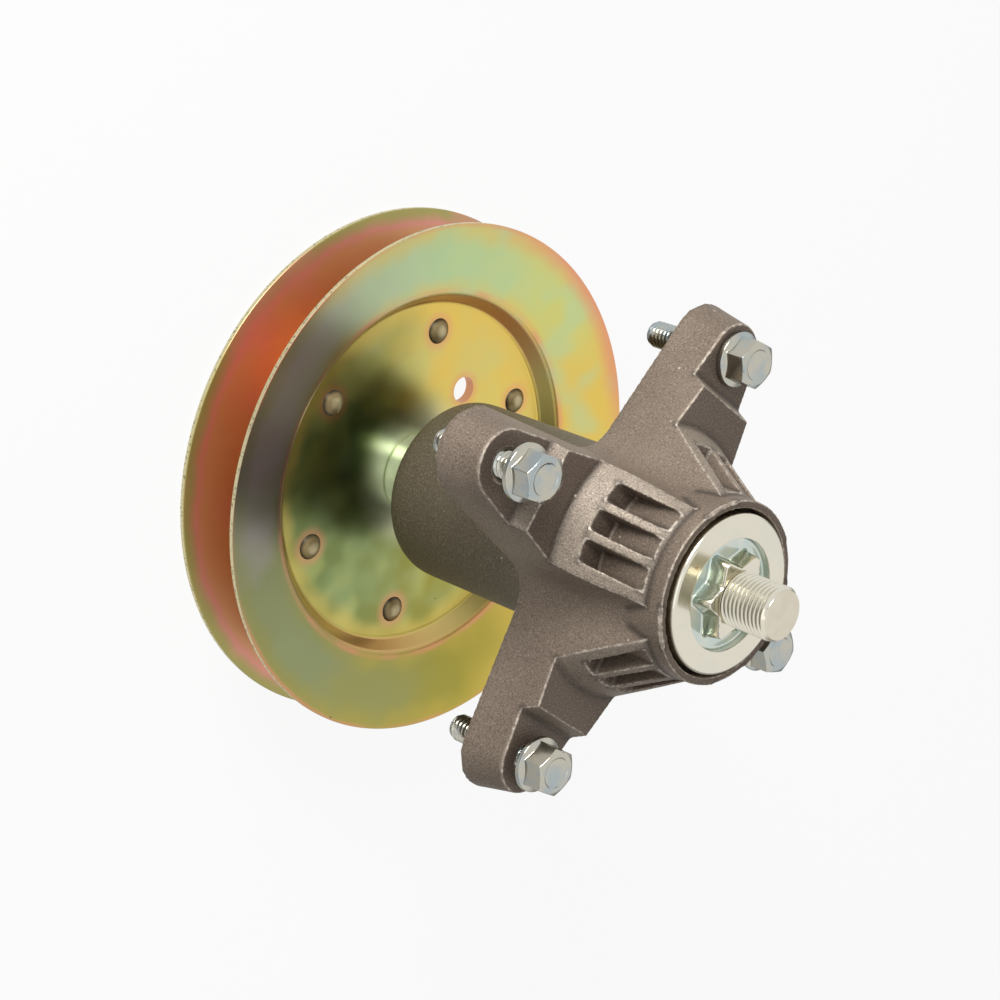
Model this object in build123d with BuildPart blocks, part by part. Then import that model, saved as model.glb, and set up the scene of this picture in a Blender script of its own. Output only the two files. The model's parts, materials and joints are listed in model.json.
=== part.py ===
from build123d import *
import os
from math import cos, radians, sin, sqrt, tan

# Mower deck spindle. The spindle axis is Z and the blade end points up. The deck plane,
# where the four ears of the housing meet the deck, is Z = 0, and the bolts stand on the
# corners of a square about the axis. All sizes are in millimetres.

# Housing, driving dimensions
bolt_spacing = 91.0  # side of the square of deck bolts
arm_count = 4
arm_turn = 45.0  # degrees, first arm
boss_length = 62.5  # boss that passes through the deck, below Z = 0
boss_radius = 27.3
boss_edge_radius = 7.0
nose_height = 49.5  # front of the nose ring above the deck plane
nose_radius = 26.6
nose_edge = 0.6
nose_recess_depth = 6.0
pad_height = 14.0  # bolt seats on the arms
step_height = 19.0  # second level of the arms
step_reach = 53.0  # where the bolt seat ends, measured from the axis
step_slope = 25.0  # degrees, lean of the wall between the two levels
ear_radius = 13.0  # at the deck plane
ear_top_radius = 9.0  # at the second level
arm_flare = 8.8  # degrees, each flank at the deck plane
arm_top_flare = 13.2  # degrees, each flank at the second level
arm_nose_half_width = 13.4
valley_radius = 12.0  # between two arms
rib_foot_radius = 40.0  # foot of the ribs on the second level
rib_end_height = 44.0  # where the ribs run out on the nose
rib_thickness = 2.7
rib_block_half_width = 14.6
pocket_count = 3
pocket_start = 25.8  # foot of the pockets above the deck plane
pocket_floor_radius = 27.2
bolt_hole_clearance = 0.02
bolt_lead_radius = 5.3
bolt_lead_angle = 90.0  # degrees, whole angle of the lead into each bolt hole
bolt_hole_relief = 0.8  # bevel of each bolt hole in the deck plane

# Bearings, driving dimensions
bearing_outer_radius = 20.0
bearing_bore_radius = 8.5
bearing_width = 12.0
bearing_inset = 2.5  # from the end of the boss to the pulley bearing
bearing_ledge = 3.0  # width of the shoulder behind each bearing
ball_radius = 3.37
ball_count = 8
ball_clearance = 0.08
race_shoulder = 2.15  # from the ball circle to either race
cage_half_height = 4.2
cage_half_thickness = 1.1
cage_clearance = 0.15
seal_thickness = 1.0
seal_seat_depth = 1.1
seal_seat_width = 1.1
seal_lip_clearance = 0.08

# Shaft, driving dimensions
flange_radius = 23.2
flange_gap = 1.0  # round the flange, to the nose of the housing
flange_proud = 1.5  # in front of the nose
flange_thickness = 6.0
flange_chamfer = 0.7
collar_radius = 11.2  # shoulder that the blade bearing stands against
star_recess_radius = 16.2
star_recess_depth = 2.5
star_points = 6
star_height = 5.8  # above the floor of its recess
star_tip_radius = 14.3  # before rounding, at the foot of the star
star_root_radius = 9.4
star_rounding = 1.6
star_draft = 8.5  # degrees
star_turn = 47.0  # degrees, first point
thread_radius = 7.94
thread_relief_radius = 7.2
thread_relief_length = 1.6
blade_stud_length = 15.2  # above the star
thread_chamfer = 0.9
shaft_end_inset = 0.5  # pulley end of the shaft, inside the pulley's rim

# Pulley, driving dimensions
pulley_radius = 79.375
sheet_thickness = 1.6
web_height = -77.65  # face of the web that the hub spacer stands on
dish_depth = 10.65  # from the rim to the web
lip_depth = 5.8  # from the rim to the lip of the step
lip_radius = 56.5
web_radius = 53.1
sheet_bend_radius = 2.4
pulley_bore_clearance = 0.06
spacer_radius = 12.7
spacer_bore_clearance = 0.02
spacer_edge = 0.4
rivet_count = 6
rivet_circle_radius = 44.1
rivet_turn = 11.2  # degrees, first rivet
rivet_head_radius = 4.0
rivet_head_height = 1.9
rivet_shank_radius = 2.5
locating_hole_radius = 4.1
locating_hole_reach = 29.7
nut_flats = 23.8
nut_height = 9.5
nut_chamfer = 1.1

# Deck bolts, driving dimensions
bolt_radius = 3.97
bolt_thread_bite = 0.32  # how deep the formed thread stands in the casting
bolt_length = 31.8  # under the head
bolt_flange_radius = 8.15
bolt_flange_thickness = 1.3
bolt_flange_rise = 0.9  # of the flange's cone, to the hexagon
bolt_flats = 12.7
bolt_head_height = 8.4
bolt_head_chamfer = 0.7
bolt_dish_radius = 4.7  # shallow dish in the top of each head
bolt_dish_depth = 0.5
bolt_point_length = 1.2
bolt_gaps = (0.5, 6.7, 3.1, 6.1)  # under each head: the screws are only partly driven in
bolt_turns = (24.0, 26.0, 22.0, 38.0)  # degrees, how each hexagon happens to stand

# Places that follow from these sizes
bolt_reach = bolt_spacing / sqrt(2)
bolt_hole_radius = bolt_radius - bolt_thread_bite
contact_height = web_height - sheet_thickness
rim_height = web_height + dish_depth
far_rim_height = 2 * contact_height - rim_height
nose_recess_radius = flange_radius + flange_gap
cavity_radius = bearing_outer_radius - bearing_ledge
flange_face_height = nose_height + flange_proud
flange_back_height = flange_face_height - flange_thickness
star_floor_height = flange_face_height - star_recess_depth
star_top_height = star_floor_height + star_height
blade_thread_height = star_top_height + thread_relief_length
blade_stud_end = star_top_height + blade_stud_length
blade_bearing_height = nose_height - nose_recess_depth - bearing_width
blade_bearing_top = blade_bearing_height + bearing_width
pulley_bearing_height = bearing_inset - boss_length
pulley_bearing_top = pulley_bearing_height + bearing_width
shaft_end = far_rim_height + shaft_end_inset
shaft_step = web_height + sheet_thickness
ball_circle_radius = (bearing_bore_radius + bearing_outer_radius) / 2
inner_race_radius = ball_circle_radius - race_shoulder
outer_race_radius = ball_circle_radius + race_shoulder
seal_seat_radius = outer_race_radius + seal_seat_width

os.makedirs("parts", exist_ok=True)


def keep(part, name):
    """Label a finished piece and write it to the parts folder."""
    part.label = name
    export_step(part, "parts/" + name + ".step")


def arm_plan(height, radius, flare):
    """Plan of the four arms at one height, with rounded ears and rounded valleys."""
    tangent_reach = bolt_reach + radius * sin(radians(flare))
    tangent_half_width = radius * cos(radians(flare))
    axis_half_width = radius / cos(radians(flare)) + bolt_reach * tan(radians(flare))
    with BuildSketch(Plane.XY.offset(height)) as plan:
        with PolarLocations(0, arm_count, start_angle=arm_turn):
            Polygon(
                (0, -axis_half_width),
                (tangent_reach, -tangent_half_width),
                (tangent_reach, tangent_half_width),
                (0, axis_half_width),
                align=None,
            )
        with PolarLocations(bolt_reach, arm_count, start_angle=arm_turn):
            Circle(radius)
        corners = plan.vertices().sort_by(lambda v: v.X**2 + v.Y**2)[:arm_count]
        fillet(corners, valley_radius)
    return plan.sketch


def star_plan(height, inset):
    """Plan of the star at one height, its points and roots drawn in by the inset."""
    step = 180 / star_points
    with BuildSketch(Plane.XY.offset(height)) as plan:
        corners = []
        for point in range(star_points):
            tip = radians(star_turn + 2 * point * step)
            root = tip + radians(step)
            tip_radius = star_tip_radius - inset
            root_radius = star_root_radius - inset
            corners.append((tip_radius * cos(tip), tip_radius * sin(tip)))
            corners.append((root_radius * cos(root), root_radius * sin(root)))
        Polygon(*corners, align=None)
        fillet(plan.vertices(), star_rounding)
    return plan.sketch


# Step between the bolt seat and the second level, as the space above it on one arm
wall_run = (step_height - pad_height) * tan(radians(step_slope))
clear_height = blade_stud_end
with BuildPart() as step_space:
    with BuildSketch(Plane.XZ):
        Polygon(
            (step_reach, pad_height),
            (2 * bolt_reach, pad_height),
            (2 * bolt_reach, clear_height),
            (step_reach - wall_run, clear_height),
            (step_reach - wall_run, step_height),
            align=None,
        )
    extrude(amount=2 * ear_radius, both=True)

# Pockets between the ribs: the space outside the nose, kept only between the ribs
pocket_pitch = (2 * rib_block_half_width - rib_thickness) / pocket_count
with BuildPart() as pocket_space:
    with BuildSketch(Plane.XY.offset(pocket_start)):
        with PolarLocations(rib_foot_radius, arm_count, start_angle=arm_turn):
            with GridLocations(0, pocket_pitch, 1, pocket_count):
                Rectangle(2 * nose_radius, pocket_pitch - rib_thickness)
    extrude(amount=nose_height - pocket_start)
    with BuildSketch(Plane.XY.offset(pocket_start)):
        Circle(pocket_floor_radius)
    extrude(amount=nose_height - pocket_start, mode=Mode.SUBTRACT)

# Housing: one casting of a boss, four arms with rib blocks, and a nose
with BuildPart() as housing:
    add(arm_plan(0, ear_radius, arm_flare))
    add(arm_plan(step_height, ear_top_radius, arm_top_flare))
    add(arm_plan(nose_height, arm_nose_half_width, 0))
    loft(ruled=True)
    with PolarLocations(0, arm_count, start_angle=arm_turn):
        add(step_space.part, mode=Mode.SUBTRACT)
    # the ribs end on a cone that runs from the second level to the nose
    with BuildSketch(Plane.XZ):
        Polygon(
            (rib_foot_radius, step_height),
            (2 * bolt_reach, step_height),
            (2 * bolt_reach, clear_height),
            (nose_radius, clear_height),
            (nose_radius, rib_end_height),
            align=None,
        )
    revolve(axis=Axis.Z, mode=Mode.SUBTRACT)
    add(pocket_space.part, mode=Mode.SUBTRACT)
    # boss below the deck plane and nose above it
    with BuildSketch(Plane.XZ):
        with BuildLine():
            Polyline(
                (0, nose_height),
                (0, -boss_length),
                (boss_radius - boss_edge_radius, -boss_length),
            )
            RadiusArc(
                (boss_radius - boss_edge_radius, -boss_length),
                (boss_radius, boss_edge_radius - boss_length),
                -boss_edge_radius,
            )
            Polyline(
                (boss_radius, boss_edge_radius - boss_length),
                (boss_radius, 0),
                (nose_radius, rib_end_height),
                (nose_radius, nose_height - nose_edge),
                (nose_radius - nose_edge, nose_height),
                (0, nose_height),
            )
        make_face()
    revolve(axis=Axis.Z)
    # seats of the two bearings, the cavity between them and the recess of the flange
    with BuildSketch(Plane.XZ):
        Polygon(
            (0, -boss_length),
            (bearing_outer_radius, -boss_length),
            (bearing_outer_radius, pulley_bearing_top),
            (cavity_radius, pulley_bearing_top),
            (cavity_radius, blade_bearing_height),
            (bearing_outer_radius, blade_bearing_height),
            (bearing_outer_radius, blade_bearing_top),
            (nose_recess_radius, blade_bearing_top),
            (nose_recess_radius, nose_height),
            (0, nose_height),
            align=None,
        )
    revolve(axis=Axis.Z, mode=Mode.SUBTRACT)
    with Locations((0, 0, pad_height)):
        with PolarLocations(bolt_reach, arm_count, start_angle=arm_turn):
            CounterSinkHole(bolt_hole_radius, bolt_lead_radius, pad_height, bolt_lead_angle)
    # relief at the mouths in the deck plane, which keeps the burr of the formed thread
    # below the face that the deck lies on
    hole_edges = housing.edges(Select.LAST).filter_by(GeomType.CIRCLE)
    chamfer(hole_edges.sort_by(Axis.Z)[:arm_count], bolt_hole_relief)
keep(housing.part, "housing")

# Shaft: one forging, turned on its bearing seats and threaded at both ends
with BuildPart() as shaft:
    with BuildSketch(Plane.XZ):
        with BuildLine():
            Polyline(
                (0, shaft_end),
                (thread_radius - thread_chamfer, shaft_end),
                (thread_radius, shaft_end + thread_chamfer),
                (thread_radius, shaft_step),
                (bearing_bore_radius, shaft_step),
                (bearing_bore_radius, blade_bearing_top),
                (collar_radius, blade_bearing_top),
                (collar_radius, flange_back_height),
                (flange_radius - flange_chamfer, flange_back_height),
                (flange_radius, flange_back_height + flange_chamfer),
                (flange_radius, flange_face_height - flange_chamfer),
                (flange_radius - flange_chamfer, flange_face_height),
                (star_recess_radius, flange_face_height),
                (star_recess_radius, star_floor_height),
                (thread_relief_radius, star_floor_height),
                (thread_relief_radius, blade_thread_height),
                (thread_radius, blade_thread_height),
                (thread_radius, blade_stud_end - thread_chamfer),
                (thread_radius - thread_chamfer, blade_stud_end),
                (0, blade_stud_end),
                close=True,
            )
        make_face()
    revolve(axis=Axis.Z)
    # star that turns the blade, narrower at its top
    add(star_plan(star_floor_height, 0))
    add(star_plan(star_top_height, star_height * tan(radians(star_draft))))
    loft(ruled=True)
keep(shaft.part, "spindle_shaft")

# Two sealed ball bearings
bearings = (
    ("blade_bearing", blade_bearing_height),
    ("pulley_bearing", pulley_bearing_height),
)
for bearing_name, base in bearings:
    middle = base + bearing_width / 2
    top = base + bearing_width
    with BuildPart() as inner_race:
        with BuildSketch(Plane.XZ):
            Polygon(
                (bearing_bore_radius, base),
                (inner_race_radius, base),
                (inner_race_radius, top),
                (bearing_bore_radius, top),
                align=None,
            )
            with Locations((ball_circle_radius, middle)):
                Circle(ball_radius + ball_clearance, mode=Mode.SUBTRACT)
        revolve(axis=Axis.Z)
    keep(inner_race.part, bearing_name + "_inner_race")

    with BuildPart() as outer_race:
        with BuildSketch(Plane.XZ):
            Polygon(
                (outer_race_radius, base + seal_seat_depth),
                (seal_seat_radius, base + seal_seat_depth),
                (seal_seat_radius, base),
                (bearing_outer_radius, base),
                (bearing_outer_radius, top),
                (seal_seat_radius, top),
                (seal_seat_radius, top - seal_seat_depth),
                (outer_race_radius, top - seal_seat_depth),
                align=None,
            )
            with Locations((ball_circle_radius, middle)):
                Circle(ball_radius + ball_clearance, mode=Mode.SUBTRACT)
        revolve(axis=Axis.Z)
    keep(outer_race.part, bearing_name + "_outer_race")

    with BuildPart() as cage:
        with BuildSketch(Plane.XZ):
            with Locations((ball_circle_radius, middle)):
                Rectangle(2 * cage_half_thickness, 2 * cage_half_height)
        revolve(axis=Axis.Z)
        with Locations((0, 0, middle)):
            with PolarLocations(ball_circle_radius, ball_count):
                Cylinder(
                    ball_radius + cage_clearance,
                    4 * cage_half_thickness,
                    rotation=(0, 90, 0),
                    mode=Mode.SUBTRACT,
                )
    keep(cage.part, bearing_name + "_cage")

    ball_places = PolarLocations(ball_circle_radius, ball_count)
    for number, place in enumerate(ball_places, start=1):
        with BuildPart() as ball:
            with Locations((place.position.X, place.position.Y, middle)):
                Sphere(ball_radius)
        keep(ball.part, bearing_name + "_ball_" + str(number))

    seals = (
        ("_seal_lower", base + seal_seat_depth - seal_thickness),
        ("_seal_upper", top - seal_seat_depth),
    )
    for seal_name, seal_height in seals:
        with BuildPart() as seal:
            with BuildSketch(Plane.XY.offset(seal_height)):
                Circle(seal_seat_radius)
                Circle(inner_race_radius + seal_lip_clearance, mode=Mode.SUBTRACT)
            extrude(amount=seal_thickness)
        keep(seal.part, bearing_name + seal_name)

# Tube that keeps the two inner races apart, inside the housing
with BuildPart() as bearing_spacer:
    with BuildSketch(Plane.XY.offset(pulley_bearing_top)):
        Circle(inner_race_radius)
        Circle(bearing_bore_radius + spacer_bore_clearance, mode=Mode.SUBTRACT)
    extrude(amount=blade_bearing_height - pulley_bearing_top)
keep(bearing_spacer.part, "bearing_spacer")

# Sleeve between the pulley and its bearing
with BuildPart() as hub_spacer:
    with BuildSketch(Plane.XY.offset(web_height)):
        Circle(spacer_radius)
        Circle(bearing_bore_radius + spacer_bore_clearance, mode=Mode.SUBTRACT)
    extrude(amount=pulley_bearing_height - web_height)
    rims = hub_spacer.edges().filter_by(GeomType.CIRCLE).sort_by(SortBy.RADIUS)[-2:]
    chamfer(rims, spacer_edge)
keep(hub_spacer.part, "hub_spacer")

# Pulley: two pressed sheets, back to back, with the belt groove between their rims
flank_rise = lip_depth / (pulley_radius - lip_radius)
with BuildPart() as front_sheet:
    with BuildSketch(Plane.XZ):
        with BuildLine():
            FilletPolyline(
                (thread_radius + pulley_bore_clearance, web_height),
                (web_radius, web_height),
                (lip_radius, rim_height - lip_depth),
                (pulley_radius + sheet_thickness, rim_height + sheet_thickness * flank_rise),
                radius=sheet_bend_radius,
            )
            offset(amount=sheet_thickness, side=Side.RIGHT)
        make_face()
        Rectangle(2 * pulley_radius, -2 * far_rim_height, mode=Mode.INTERSECT)
    revolve(axis=Axis.Z)
    with BuildSketch(Plane.XY.offset(contact_height)):
        with PolarLocations(rivet_circle_radius, rivet_count, start_angle=rivet_turn):
            Circle(rivet_shank_radius)
        hole_turn = rivet_turn + 180 / rivet_count
        with PolarLocations(locating_hole_reach, 1, start_angle=hole_turn):
            Circle(locating_hole_radius)
    extrude(amount=sheet_thickness, mode=Mode.SUBTRACT)
keep(front_sheet.part, "pulley_front_sheet")

with BuildPart() as rear_sheet:
    mirror(front_sheet.part, about=Plane.XY.offset(contact_height))
keep(rear_sheet.part, "pulley_rear_sheet")

# Rivets through both webs, with the same round head in front and behind
head_rounding = (rivet_head_radius**2 + rivet_head_height**2) / (2 * rivet_head_height)
with BuildPart() as rivet_form:
    with BuildSketch(Plane.XZ):
        with BuildLine():
            Polyline(
                (0, sheet_thickness + rivet_head_height),
                (0, 0),
                (rivet_shank_radius, 0),
                (rivet_shank_radius, sheet_thickness),
                (rivet_head_radius, sheet_thickness),
            )
            RadiusArc(
                (rivet_head_radius, sheet_thickness),
                (0, sheet_thickness + rivet_head_height),
                -head_rounding,
            )
        make_face()
    revolve(axis=Axis.Z)
    mirror(about=Plane.XY)
rivet_places = PolarLocations(rivet_circle_radius, rivet_count, start_angle=rivet_turn)
for number, place in enumerate(rivet_places, start=1):
    with BuildPart() as rivet:
        with Locations((place.position.X, place.position.Y, contact_height)):
            add(rivet_form.part)
    keep(rivet.part, "pulley_rivet_" + str(number))

# Nut that holds the pulley on the shaft
with BuildPart() as nut:
    nut_base = contact_height - sheet_thickness - nut_height
    with BuildSketch(Plane.XY.offset(nut_base)):
        RegularPolygon(nut_flats / 2, 6, major_radius=False)
        Circle(thread_radius, mode=Mode.SUBTRACT)
    extrude(amount=nut_height)
    corner = nut_flats / sqrt(3)
    with BuildSketch(Plane.XZ):
        Polygon(
            (0, nut_base),
            (nut_flats / 2, nut_base),
            (corner, nut_base + nut_chamfer),
            (corner, nut_base + nut_height),
            (0, nut_base + nut_height),
            align=None,
        )
    revolve(axis=Axis.Z, mode=Mode.INTERSECT)
keep(nut.part, "pulley_nut")

# Deck bolts: thread-forming screws with a hexagon and a flange in one piece
hexagon_corner = bolt_flats / sqrt(3)
with BuildPart() as bolt_form:
    with BuildSketch():
        RegularPolygon(bolt_flats / 2, 6, major_radius=False)
    extrude(amount=bolt_head_height)
    with BuildSketch(Plane.XZ):
        Polygon(
            (0, 0),
            (hexagon_corner, 0),
            (hexagon_corner, bolt_head_height - bolt_head_chamfer),
            (bolt_flats / 2 - bolt_head_chamfer, bolt_head_height),
            (bolt_dish_radius, bolt_head_height),
            (bolt_dish_radius - bolt_dish_depth, bolt_head_height - bolt_dish_depth),
            (0, bolt_head_height - bolt_dish_depth),
            align=None,
        )
    revolve(axis=Axis.Z, mode=Mode.INTERSECT)
    with BuildSketch(Plane.XZ):
        Polygon(
            (0, -bolt_length),
            (bolt_radius - bolt_point_length / 2, -bolt_length),
            (bolt_radius, bolt_point_length - bolt_length),
            (bolt_radius, 0),
            (bolt_flange_radius, 0),
            (bolt_flange_radius, bolt_flange_thickness),
            (bolt_flats / 2, bolt_flange_thickness + bolt_flange_rise),
            (0, bolt_flange_thickness + bolt_flange_rise),
            align=None,
        )
    revolve(axis=Axis.Z)
bolt_places = PolarLocations(bolt_reach, arm_count, start_angle=arm_turn)
for number, (place, gap, turn) in enumerate(zip(bolt_places, bolt_gaps, bolt_turns), start=1):
    with BuildPart() as bolt:
        with Locations((place.position.X, place.position.Y, pad_height + gap)):
            add(bolt_form.part, rotation=(0, 0, turn))
        # inside the arm, the shank is drawn only as wide as the cast hole, because the rest
        # of its thread stands in the casting
        with BuildSketch():
            with Locations((place.position.X, place.position.Y)):
                Circle(bolt_flange_radius)
                Circle(bolt_hole_radius - bolt_hole_clearance, mode=Mode.SUBTRACT)
        extrude(amount=pad_height, mode=Mode.SUBTRACT)
    keep(bolt.part, "deck_bolt_" + str(number))
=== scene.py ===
"""Looks of a mower deck spindle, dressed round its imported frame.

Every length is in metres, in the frame's own axes: the spindle axis is Z, the blade end is
up and the deck plane is Z = 0. Casting and forging are rounded copies of their solids, screw
heads and nut are bevelled copies, sheets, sleeve and journal are spun from their profiles,
threads are spun as helices, and the sealed bearings are their solids with new finishes.
"""

from __future__ import annotations

import json
import logging
from collections.abc import Callable, Mapping, Sequence
from dataclasses import dataclass, field
from enum import Enum
from math import cos, radians, sin, tau
from typing import Any

import bmesh
import bpy
from bmesh.types import BMesh, BMVert
from mathutils import Matrix, Vector
from mathutils.kdtree import KDTree

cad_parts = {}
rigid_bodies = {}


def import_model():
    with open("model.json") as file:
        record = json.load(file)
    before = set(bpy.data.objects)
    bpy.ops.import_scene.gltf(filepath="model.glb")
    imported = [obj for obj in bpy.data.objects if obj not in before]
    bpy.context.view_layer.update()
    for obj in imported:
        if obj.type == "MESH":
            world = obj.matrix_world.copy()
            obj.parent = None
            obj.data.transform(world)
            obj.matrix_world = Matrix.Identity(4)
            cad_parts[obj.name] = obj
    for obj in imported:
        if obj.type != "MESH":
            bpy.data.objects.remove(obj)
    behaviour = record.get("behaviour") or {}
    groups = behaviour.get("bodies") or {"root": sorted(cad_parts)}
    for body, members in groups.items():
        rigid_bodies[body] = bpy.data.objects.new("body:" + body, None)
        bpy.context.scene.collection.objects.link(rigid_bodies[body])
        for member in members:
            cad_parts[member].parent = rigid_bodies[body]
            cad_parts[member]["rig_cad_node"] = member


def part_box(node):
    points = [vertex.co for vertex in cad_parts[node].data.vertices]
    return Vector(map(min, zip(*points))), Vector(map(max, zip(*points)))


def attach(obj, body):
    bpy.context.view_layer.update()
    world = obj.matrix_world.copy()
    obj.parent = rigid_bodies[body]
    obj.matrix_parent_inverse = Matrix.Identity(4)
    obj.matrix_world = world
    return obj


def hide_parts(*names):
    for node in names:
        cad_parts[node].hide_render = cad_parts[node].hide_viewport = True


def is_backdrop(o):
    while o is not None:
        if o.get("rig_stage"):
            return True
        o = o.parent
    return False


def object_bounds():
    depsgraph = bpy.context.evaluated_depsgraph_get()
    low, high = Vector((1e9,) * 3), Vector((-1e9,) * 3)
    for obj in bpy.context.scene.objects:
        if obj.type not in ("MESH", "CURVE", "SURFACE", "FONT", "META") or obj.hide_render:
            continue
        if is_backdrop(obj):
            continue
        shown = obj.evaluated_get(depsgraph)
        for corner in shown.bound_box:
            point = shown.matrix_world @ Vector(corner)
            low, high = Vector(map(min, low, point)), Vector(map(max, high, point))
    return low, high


log = logging.getLogger("spindle")

MM = 0.001
INCH = 25.4 * MM
UP = Vector((0, 0, 1))
ORIGIN = Vector((0, 0, 0))
MERGE_DISTANCE = 0.001 * MM
# Degrees past which a hexagon's edge is bevelled, and past which its shading stays crisp
HEXAGON_CORNER = 20.0
HEXAGON_CREASE = 32.0
RUBBED = "rubbed"
# Stored nearness to inner creases, which the casting darkens with dirt and painted shade
CREASE_DIRT_AND_SHADE = "hollow"

Colour = tuple[float, float, float, float]
# Start and stop of a smooth step
Run = tuple[float, float]


def srgb(red: int, green: int, blue: int) -> Colour:
    """Turn a colour as a screen shows it, 0 to 255 a channel, into scene-linear light."""
    channels = []
    for level in (red, green, blue):
        part = level / 255
        channels.append(part / 12.92 if part <= 0.04045 else ((part + 0.055) / 1.055) ** 2.4)
    return (channels[0], channels[1], channels[2], 1.0)


WHITE = srgb(255, 255, 255)


class Body(Enum):
    """Bodies of the frame that pieces ride on."""

    HOUSING = "housing"
    SPINDLE = "spindle"


class Side(Enum):
    """Which of the two pulley sheets, by the sign of its groove's facing along Z."""

    FRONT = -1
    REAR = 1


class Field:
    """A node's output that takes part in Python arithmetic, one Math node an operator."""

    def __init__(self, surface: Surface, socket: bpy.types.NodeSocket) -> None:
        """Wrap one output socket of a surface's tree."""
        self.surface = surface
        self.socket = socket

    def math(self, operation: str, first: Any, second: Any = 0.0) -> Field:
        """Add one Math node on this field's surface and return its result."""
        return self.surface.node(
            "ShaderNodeMath", {"operation": operation}, {0: first, 1: second}
        )

    def other(self, output: str) -> Field:
        """Return another output of the node that this field comes from."""
        return Field(self.surface, self.socket.node.outputs[output])

    def __add__(self, value: Any) -> Field:
        """Field plus value."""
        return self.math("ADD", self, value)

    def __radd__(self, value: Any) -> Field:
        """Value plus field."""
        return self.math("ADD", value, self)

    def __sub__(self, value: Any) -> Field:
        """Field less value."""
        return self.math("SUBTRACT", self, value)

    def __rsub__(self, value: Any) -> Field:
        """Value less field."""
        return self.math("SUBTRACT", value, self)

    def __mul__(self, value: Any) -> Field:
        """Field times value."""
        return self.math("MULTIPLY", self, value)

    def __rmul__(self, value: Any) -> Field:
        """Value times field."""
        return self.math("MULTIPLY", value, self)

    def __truediv__(self, value: Any) -> Field:
        """Field over value."""
        return self.math("DIVIDE", self, value)

    def __pow__(self, value: Any) -> Field:
        """Field to the power of value."""
        return self.math("POWER", self, value)

    def __abs__(self) -> Field:
        """Size of the field without its sign."""
        return self.math("ABSOLUTE", self)

    def larger(self, value: Any) -> Field:
        """Return the larger of field and value."""
        return self.math("MAXIMUM", self, value)

    def fraction(self) -> Field:
        """Return the field less the whole number below it."""
        return self.math("FRACT", self)


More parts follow.
